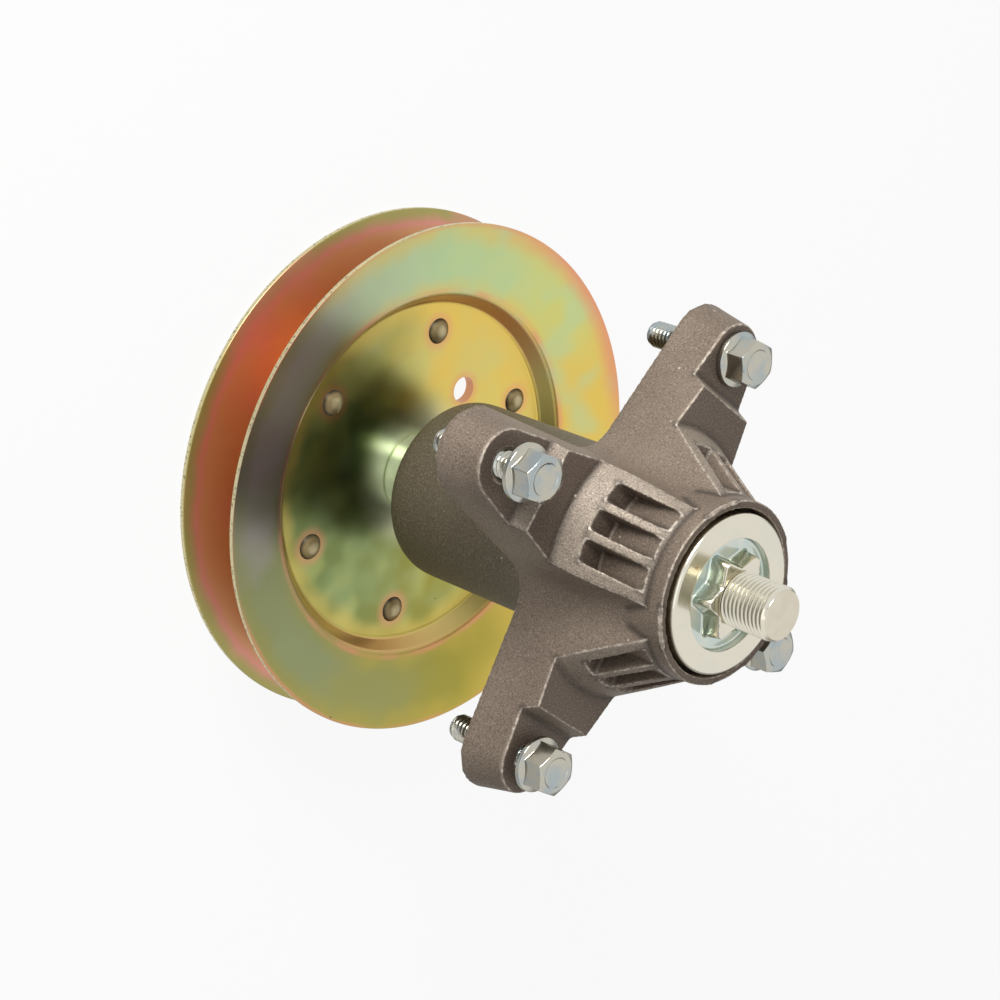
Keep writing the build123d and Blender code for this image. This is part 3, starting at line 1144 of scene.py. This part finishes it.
def store_nearness(mesh: BMesh, name: str, tree: KDTree, reach: float) -> None:
    """Store on each vertex how near it is to a set of points, from 0 to 1.

    Args:
        mesh: The mesh that is marked.
        name: Name of the stored value.
        tree: The points.
        reach: The distance at which the value has fallen to 0.
    """
    layer = mesh.verts.layers.float.new(name)
    for vert in mesh.verts:
        vert[layer] = max(0.0, 1.0 - tree.find(vert.co)[2] / reach)


def frame_mesh(node: str) -> BMesh:
    """Return a merged copy of a frame node's mesh."""
    mesh = bmesh.new()
    mesh.from_mesh(bpy.data.objects[node].data)
    return tidy(mesh)


def pierce(mesh: BMesh, punch_mesh: BMesh) -> BMesh:
    """Cut one closed mesh out of another and free both.

    Args:
        mesh: The mesh that is pierced.
        punch_mesh: The mesh that is taken away.

    Returns:
        The pierced mesh.
    """
    data = as_data(punch_mesh, "punch")
    punch = add_object("punch", data)
    pierced = modified(mesh, "BOOLEAN", operation="DIFFERENCE", solver="EXACT", object=punch)
    bpy.data.objects.remove(punch)
    bpy.data.meshes.remove(data)
    return pierced


def join(target: BMesh, *others: BMesh) -> BMesh:
    """Add closed meshes to another and free them.

    Args:
        target: The mesh that takes them.
        others: The meshes that are added.

    Returns:
        The joined mesh.
    """
    for other in others:
        carrier = as_data(other, "carrier")
        target.from_mesh(carrier)
        bpy.data.meshes.remove(carrier)
    return target


@dataclass(frozen=True)
class Thread:
    """One outside thread on an upright rod, cut square or bevelled at its ends."""

    centre: tuple[float, float]
    bottom: float
    top: float
    radius: float
    pitch: float = INCH / 18
    depth: float = 0.78 * MM
    bottom_bevel: float = 0.0
    top_bevel: float = 0.0
    bevel_slope: float = 1.0
    steps: int = 40

    def limit(self, height: float) -> float:
        """Return the largest radius that the bevelled ends leave at a height.

        Args:
            height: The height.

        Returns:
            The radius.
        """
        past = 0.0
        if self.bottom_bevel:
            past = max(past, self.bottom + self.bottom_bevel - height)
        if self.top_bevel:
            past = max(past, height + self.top_bevel - self.top)
        return self.radius - past * self.bevel_slope

    def make(self) -> BMesh:
        """Return the rod with its thread, closed at both ends."""
        crest = self.radius
        root = crest - self.depth
        start = self.bottom - self.pitch
        # Radius, and share of the pitch, at the corners of one turn
        shares = ((root, 0.0), (root, 0.12), (crest, 0.5), (crest, 0.62), (root, 1.0))
        mesh = drawn([(reach, start + share * self.pitch) for reach, share in shares])
        turns = int((self.top - self.bottom) / self.pitch) + 2
        spun(mesh, self.steps, turns, self.pitch / self.steps)
        bmesh.ops.translate(mesh, vec=(*self.centre, 0), verts=mesh.verts)
        cut(mesh, self.bottom, keep_above=True)
        cut(mesh, self.top, keep_above=False)
        limit_radius(mesh, self.limit, Vector((*self.centre, 0)))
        return tidy(mesh)


def place_piece(
    mesh: BMesh,
    name: str,
    body: Body,
    material: bpy.types.Material,
    replaced: Sequence[str],
    sharp: float = 35.0,
    level_faces: bool = False,
) -> None:
    """Turn a mesh into a piece of the object, hang it on its body and hide the frame nodes it
    stands for.

    Args:
        mesh: The finished mesh, which is freed.
        name: The piece's name.
        body: The body that it rides on.
        material: Its finish.
        replaced: The frame nodes that it stands for.
        sharp: Angle in degrees past which an edge stays sharp.
        level_faces: Whether large faces keep their own normals beside narrow bevels.
    """
    data = as_data(mesh, name)
    data.shade_smooth()
    data.set_sharp_from_angle(angle=radians(sharp))
    data.materials.append(material)
    piece = add_object(name, data)
    if level_faces:
        piece.modifiers.new("Level faces", "WEIGHTED_NORMAL").keep_sharp = True
    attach(piece, body.value)
    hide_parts(*replaced)
    log.info("%s: %d faces on %s", name, len(data.polygons), body.value)


@dataclass
class Housing:
    """The casting: boss, four arms with rib blocks, and nose."""

    node: str = "housing"
    voxel: float = 0.5 * MM
    edge_rounds: int = 3
    calm_rounds: int = 24
    calm_distance: float = 1.4 * MM
    sharp_angle: float = 25.0
    point_spacing: float = 0.4 * MM
    rub_reach: float = 1.0 * MM
    crease_dirt_and_shade_reach: float = 1.8 * MM
    most_triangles: int = 188000
    crease: float = 80.0
    finish: CastFinish = field(default_factory=CastFinish)

    def build(self) -> None:
        """Round the casting's edges, even its curves out and dress it."""
        solid = frame_mesh(self.node)
        outer = edge_tree(solid, True, self.sharp_angle, self.point_spacing)
        inner = edge_tree(solid, False, self.sharp_angle, self.point_spacing)
        mesh = soft_copy(solid, self.voxel, self.edge_rounds)
        calm = [
            vert
            for vert in mesh.verts
            if min(outer.find(vert.co)[2], inner.find(vert.co)[2]) > self.calm_distance
        ]
        soften(mesh, calm, self.calm_rounds)
        share = self.most_triangles / sum(len(face.verts) - 2 for face in mesh.faces)
        if share < 1:
            mesh = modified(mesh, "DECIMATE", ratio=share)
        store_nearness(mesh, RUBBED, outer, self.rub_reach)
        # Nearness to inner creases, which the casting darkens as dirt and painted shade
        store_nearness(mesh, CREASE_DIRT_AND_SHADE, inner, self.crease_dirt_and_shade_reach)
        finish = self.finish.make()
        place_piece(mesh, "cast_housing", Body.HOUSING, finish, (self.node,), self.crease)


@dataclass
class DeckScrews:
    """The four thread-forming screws, each with a hexagon, a flange and a dished top."""

    nodes: tuple[str, ...] = ("deck_bolt_1", "deck_bolt_2", "deck_bolt_3", "deck_bolt_4")
    head_height: float = 8.4 * MM
    shank_radius: float = 3.97 * MM
    overlap: float = 0.3 * MM
    point_length: float = 1.2 * MM
    point_slope: float = 0.5
    thread_steps: int = 28
    edge_width: float = 0.2 * MM
    finish: BrightZinc = BrightZinc(
        "screw_zinc", cool=srgb(168, 175, 175), cream=srgb(188, 184, 170), patch=9 * MM
    )

    def build(self) -> None:
        """Make each screw from its head and its thread."""
        finish = self.finish.make()
        for number, node in enumerate(self.nodes, start=1):
            lowest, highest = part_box(node)
            centre = (lowest + highest) / 2
            seat = highest.z - self.head_height
            head = frame_mesh(node)
            cut(head, seat, keep_above=True)
            thread = Thread(
                (centre.x, centre.y),
                lowest.z,
                seat + self.overlap,
                self.shank_radius,
                bottom_bevel=self.point_length,
                bevel_slope=self.point_slope,
                steps=self.thread_steps,
            )
            mesh = join(blunt(head, self.edge_width), thread.make())
            name = f"deck_screw_{number}"
            place_piece(
                mesh, name, Body.HOUSING, finish, (node,), HEXAGON_CREASE, level_faces=True
            )


@dataclass
class Shaft:
    """The forging: flange, recess and star, with a thread at each end."""

    node: str = "spindle_shaft"
    flange_foot: float = 43.9 * MM
    relief_height: float = 55.1 * MM
    journal_radius: float = 8.5 * MM
    journal_steps: int = 96
    journal_overlap: float = 1 * MM
    thread_radius: float = 7.94 * MM
    thread_bevel: float = 0.9 * MM
    thread_steps: int = 64
    blade_thread_overlap: float = 0.6 * MM
    rear_thread_overlap: float = 0.5 * MM
    rear_thread_end: float = -76.0 * MM
    voxel: float = 0.3 * MM
    rounds: int = 3

    def build(self) -> None:
        """Make the forged end, the journal and the two threads, as one piece."""
        lowest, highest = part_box(self.node)
        forged = frame_mesh(self.node)
        cut(forged, self.flange_foot, keep_above=True)
        cut(forged, self.relief_height, keep_above=False)
        forged = soft_copy(forged, self.voxel, self.rounds)
        journal_top = self.flange_foot + self.journal_overlap
        profile = (
            (0, self.rear_thread_end),
            (self.journal_radius, self.rear_thread_end),
            (self.journal_radius, journal_top),
            (0, journal_top),
        )
        journal = lathe(profile, self.journal_steps)
        blade_thread = Thread(
            (0, 0),
            self.relief_height - self.blade_thread_overlap,
            highest.z,
            self.thread_radius,
            top_bevel=self.thread_bevel,
            steps=self.thread_steps,
        )
        rear_thread = Thread(
            (0, 0),
            lowest.z,
            self.rear_thread_end + self.rear_thread_overlap,
            self.thread_radius,
            bottom_bevel=self.thread_bevel,
            steps=self.thread_steps,
        )
        mesh = join(forged, journal, blade_thread.make(), rear_thread.make())
        finish = ShaftZinc("shaft_zinc").make()
        place_piece(mesh, "forged_shaft", Body.SPINDLE, finish, (self.node,))


@dataclass
class Pulley:
    """Two pressed sheets, back to back, with their rivets, spacer and nut."""

    sheets: tuple[str, str] = ("pulley_front_sheet", "pulley_rear_sheet")
    rivets: int = 6
    rivet_circle: float = 44.1 * MM
    rivet_turn: float = 11.2
    thickness: float = 1.6 * MM
    bore: float = 8.0 * MM
    web_radius: float = 53.1 * MM
    lip_radius: float = 56.5 * MM
    lip_drop: float = 5.8 * MM
    bend: float = 1.0 * MM
    edge_round: float = 0.3 * MM
    edge_angle: float = 50.0
    hole_reach: float = 29.7 * MM
    hole_radius: float = 4.1 * MM
    punch_length: float = 20 * MM
    head_radius: float = 4.0 * MM
    head_height: float = 1.9 * MM
    head_sink: float = 0.1 * MM
    shank_radius: float = 2.5 * MM
    sleeve_bore: float = 8.52 * MM
    sleeve_edge: float = 0.4 * MM
    nut_edge: float = 0.25 * MM
    sheet_steps: int = 256
    hole_sides: int = 64
    head_steps: int = 48
    shank_sides: int = 32
    sleeve_steps: int = 128

    def hole_place(self, height: float) -> tuple[float, float, float]:
        """Return the middle of the locating hole at a height."""
        turn = radians(self.rivet_turn + 180 / self.rivets)
        return (self.hole_reach * cos(turn), self.hole_reach * sin(turn), height)

    def sheet(self, side: Side) -> BMesh:
        """Press one sheet.

        Args:
            side: Which of the two sheets.

        Returns:
            The sheet with rounded edges and its locating hole.
        """
        lowest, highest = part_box(self.sheets[0])
        web = lowest.z + self.thickness
        profile = (
            (self.bore, web),
            (self.web_radius, web),
            (self.lip_radius, highest.z - self.lip_drop),
            (highest.x, highest.z),
        )
        mesh = lathe(profile, self.sheet_steps, self.bend)
        if sum(face.normal.z for face in mesh.faces) < 0:
            bmesh.ops.reverse_faces(mesh, faces=mesh.faces)
        bmesh.ops.solidify(mesh, geom=mesh.faces[:], thickness=self.thickness)
        limit_radius(mesh, lambda height: highest.x)
        round_edges(tidy(mesh), self.edge_round, self.edge_angle)
        place = self.hole_place(lowest.z)
        mesh = pierce(mesh, rod(self.hole_radius, self.punch_length, self.hole_sides, place))
        if side is Side.REAR:
            bmesh.ops.scale(
                mesh,
                vec=(1, 1, -1),
                space=Matrix.Translation((0, 0, -lowest.z)),
                verts=mesh.verts,
            )
        return tidy(mesh)

    def rivet(self, number: int) -> BMesh:
        """Make one rivet: a shank with a round head on each side of the webs.

        Args:
            number: Its number, counted from 1.

        Returns:
            The closed rivet.
        """
        lowest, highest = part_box(f"pulley_rivet_{number}")
        middle = (lowest + highest) / 2
        seat = self.thickness - self.head_sink
        ball_radius = (self.head_radius**2 + self.head_height**2) / (2 * self.head_height)
        heads = []
        for away in (1, -1):
            head = bmesh.new()
            bmesh.ops.create_uvsphere(
                head,
                u_segments=self.head_steps,
                v_segments=self.head_steps,
                radius=ball_radius,
                matrix=Matrix.Translation((0, 0, away * (highest.z - middle.z - ball_radius))),
            )
            cut(head, away * seat, keep_above=away > 0)
            heads.append(head)
        mesh = join(rod(self.shank_radius, 2 * seat, self.shank_sides), *heads)
        bmesh.ops.translate(mesh, vec=middle, verts=mesh.verts)
        return mesh

    def sleeve(self) -> BMesh:
        """Turn the spacer sleeve, with a small bevel at each outer edge."""
        lowest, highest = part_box("hub_spacer")
        edge = self.sleeve_edge
        profile = (
            (self.sleeve_bore, lowest.z),
            (highest.x - edge, lowest.z),
            (highest.x, lowest.z + edge),
            (highest.x, highest.z - edge),
            (highest.x - edge, highest.z),
            (self.sleeve_bore, highest.z),
            (self.sleeve_bore, lowest.z),
        )
        return lathe(profile, self.sleeve_steps)

    def build(self) -> None:
        """Make the sheets, the rivets, the spacer and the nut."""
        web_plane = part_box(self.sheets[0])[0].z
        for side, node in zip(Side, self.sheets):
            finish = YellowZinc(
                f"yellow_zinc_{side.name.lower()}",
                side,
                self.rivet_circle,
                self.rivets,
                self.rivet_turn,
                self.hole_place(web_plane),
            ).make()
            name = f"pressed_sheet_{side.name.lower()}"
            mesh = self.sheet(side)
            place_piece(mesh, name, Body.SPINDLE, finish, (node,), level_faces=True)
        finish = RivetBronze().make()
        for number in range(1, self.rivets + 1):
            node = f"pulley_rivet_{number}"
            name = f"round_rivet_{number}"
            place_piece(self.rivet(number), name, Body.SPINDLE, finish, (node,))
        mesh = self.sleeve()
        name, node = "spacer_sleeve", "hub_spacer"
        finish = PlainMetal(
            "spacer_plating", srgb(214, 219, 206), srgb(198, 206, 190), 0.14, patch=6 * MM
        ).make()
        place_piece(mesh, name, Body.SPINDLE, finish, (node,), level_faces=True)
        name, node = "shaft_nut", "pulley_nut"
        mesh = blunt(frame_mesh(node), self.nut_edge)
        finish = BrightZinc("nut_zinc").make()
        place_piece(
            mesh, name, Body.SPINDLE, finish, (node,), HEXAGON_CREASE, level_faces=True
        )


@dataclass
class Bearings:
    """The two sealed ball bearings and the tube between them, shown as their solids."""

    mark: str = "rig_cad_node"

    def build(self) -> None:
        """Give every bearing piece its finish."""
        ground = PlainMetal("race_steel", srgb(176, 178, 180), srgb(152, 155, 158), 0.16).make()
        polished = PlainMetal("ball_steel", srgb(206, 208, 210), srgb(188, 190, 194), 0.05).make()
        pressed = PlainMetal("cage_steel", srgb(158, 152, 140), srgb(132, 126, 116), 0.32).make()
        rubber = PlainMetal(
            "seal_rubber", srgb(34, 33, 32), srgb(48, 46, 44), 0.6, depth=0.05 * MM, metallic=0.0
        ).make()
        tube = PlainMetal("tube_steel", srgb(160, 160, 154), srgb(136, 136, 130), 0.35).make()
        finishes = {
            "_outer_race": ground,
            "_inner_race": ground,
            "_ball_": polished,
            "_cage": pressed,
            "_seal_": rubber,
            "bearing_spacer": tube,
        }
        for name, node in sorted(bpy.data.objects.items()):
            for ending, material in finishes.items():
                if ending in name and self.mark in node:
                    node.data.materials.clear()
                    node.data.materials.append(material)
                    log.info("%s: dressed", name)


@dataclass(frozen=True)
class Viewpoint:
    """Where the photograph was taken from, solved on the pulley, boss and flange rings."""

    location: tuple[float, float, float] = (-470.811 * MM, 338.085 * MM, 481.339 * MM)
    forward: tuple[float, float, float] = (0.60450, -0.43195, -0.66933)
    image_up: tuple[float, float, float] = (0.34380, 0.89941, -0.26992)
    lens: float = 94.65
    sensor: float = 36.0

    def basis(self) -> tuple[Vector, Vector, Vector]:
        """Return the picture's right, its up and the way back to the camera."""
        back = -Vector(self.forward).normalized()
        right = Vector(self.image_up).cross(back).normalized()
        return right, back.cross(right), back

    def place(self) -> None:
        """Make the camera and look through it."""
        data = bpy.data.cameras.new("camera")
        data.lens = self.lens
        data.sensor_width = self.sensor
        camera = add_object("camera", data)
        turn = Matrix(self.basis()).transposed()
        camera.matrix_world = Matrix.Translation(self.location) @ turn.to_4x4()
        bpy.context.scene.camera = camera


@dataclass(frozen=True)
class Lamp:
    """A soft square lamp that is aimed at the middle of the spindle."""

    name: str
    direction: tuple[float, float, float]
    energy: float
    size: float
    distance: float

    def place(self) -> None:
        """Hang the lamp and aim it."""
        toward = Vector(self.direction).normalized()
        data = bpy.data.lights.new(self.name, "AREA")
        data.energy = self.energy
        data.size = self.size
        lamp = add_object(self.name, data)
        lamp.location = toward * self.distance
        lamp.rotation_mode = "QUATERNION"
        lamp.rotation_quaternion = (-toward).to_track_quat("-Z", "Y")


@dataclass(frozen=True)
class Window:
    """A bright soft patch of the surroundings, seen only in reflections."""

    direction: tuple[float, float, float]
    low: float
    high: float

    def glow(self, surface: Surface, direction: Field) -> Field:
        """Return how far a direction looks into the window, from 0 to 1."""
        settings = {"operation": "DOT_PRODUCT"}
        sockets = {0: direction, 1: self.direction}
        toward = surface.node("ShaderNodeVectorMath", settings, sockets, "Value")
        return surface.step(toward, self.low, self.high)


@dataclass(frozen=True)
class Studio:
    """Pale floor, surroundings that fade towards the horizon, and soft lamps."""

    view: Viewpoint = Viewpoint()
    lamps: tuple[Lamp, ...] = (
        Lamp("key_lamp", (-0.32, 0.88, 0.36), 4.6, 0.35, 0.75),
        Lamp("fill_lamp", (-0.75, 0.2, 0.6), 0.5, 0.6, 0.9),
    )
    floor_tone: Colour = srgb(245, 245, 243)
    floor_size: float = 1.7
    floor_sides: int = 64
    floor_glow: float = 0.92
    floor_dim: float = 0.62
    dim_from: float = -0.14
    dim_to: float = 0.06
    shade_centre: tuple[float, float] = (-0.22, 0.16)
    shade_core: float = 0.07
    shade_reach: float = 0.22
    shade_share: float = 0.4
    ambient_low: float = 0.13
    ambient_high: float = 0.38
    haze: float = 0.4
    haze_low: float = 0.12
    haze_high: float = 0.42
    windows: tuple[Window, ...] = (
        Window((0.0, 1.0, 0.0), 0.25, 0.7),
        Window((0.93, 0.3, 0.2), 0.84, 0.96),
    )

    @staticmethod
    def rays(surface: Surface) -> tuple[Field, Field]:
        """Return 1 for the rays of the eye, and 1 for those of reflections and of clear glass."""
        seen = surface.node("ShaderNodeLightPath", output="Is Camera Ray")
        mirrored = seen.other("Is Glossy Ray") + seen.other("Is Transmission Ray")
        return seen, seen.math("MINIMUM", mirrored, 1.0)

    def lay_floor(self, height: float) -> None:
        """Lay the pale floor; reflections see it dimmer in front and round one place beside it.

        Args:
            height: The height that the object stands on.
        """
        surface = Surface.material("pale_floor")
        matt = surface.node("ShaderNodeBsdfDiffuse", None, {"Color": self.floor_tone})
        seen, mirrored = self.rays(surface)
        place = surface.position()
        y = surface.along(place, "Y")
        sheen = surface.step(y, self.dim_from, self.dim_to, self.floor_dim, self.floor_glow)
        away = surface.apart(place, (*self.shade_centre, height))
        sheen = sheen * surface.step(away, self.shade_core, self.shade_reach, self.shade_share, 1.0)
        sockets = {"Color": WHITE, "Strength": 1 - mirrored * (1 - sheen)}
        glow = surface.node("ShaderNodeEmission", None, sockets)
        share = seen * self.floor_glow + mirrored
        both = surface.node("ShaderNodeMixShader", None, {0: share, 1: matt, 2: glow})
        surface.node("ShaderNodeOutputMaterial", None, {"Surface": both})
        mesh = bmesh.new()
        bmesh.ops.create_circle(
            mesh, cap_ends=True, segments=self.floor_sides, radius=self.floor_size / 2
        )
        bmesh.ops.translate(mesh, vec=(0, 0, height), verts=mesh.verts)
        data = as_data(mesh, "floor")
        data.materials.append(surface.owner)
        floor = add_object("floor", data)
        floor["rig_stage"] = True

    def surround(self) -> None:
        """Make the world white to the eye, hazy low down in reflections and grey as light."""
        world = bpy.data.worlds.new("studio")
        bpy.context.scene.world = world
        surface = Surface(world)
        direction = surface.node("ShaderNodeTexCoord", output="Generated")
        rise = surface.along(direction, "Z")
        y = rise.other("Y")
        bright = surface.step(rise, self.haze_low, self.haze_high)
        for window in self.windows:
            bright = bright.larger(window.glow(surface, direction))
        sky = self.haze + (1 - self.haze) * bright
        soft = surface.step(y, -1.0, 1.0, self.ambient_low, self.ambient_high)
        seen, mirrored = self.rays(surface)
        strength = seen + mirrored * sky + (1 - seen - mirrored) * soft
        sockets = {"Color": WHITE, "Strength": strength}
        light = surface.node("ShaderNodeBackground", None, sockets)
        surface.node("ShaderNodeOutputWorld", None, {"Surface": light})

    def build(self, floor_height: float) -> None:
        """Set the stage.

        Args:
            floor_height: The height that the object stands on.
        """
        bpy.context.scene.view_settings.view_transform = "Standard"
        self.view.place()
        for lamp in self.lamps:
            lamp.place()
        self.lay_floor(floor_height)
        self.surround()


def corners() -> list[list[float]]:
    """Return the lowest and highest corner of what is shown, as plain lists."""
    return [list(corner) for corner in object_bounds()]


def main() -> None:
    """Dress the frame and set the stage, sub-assembly by sub-assembly."""
    logging.basicConfig(level=logging.INFO, format="%(name)s: %(message)s")
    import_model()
    solid_box = corners()
    Studio().build(solid_box[0][2])
    for part in (Housing(), DeckScrews(), Shaft(), Pulley(), Bearings()):
        part.build()


if __name__ == "__main__":
    main()
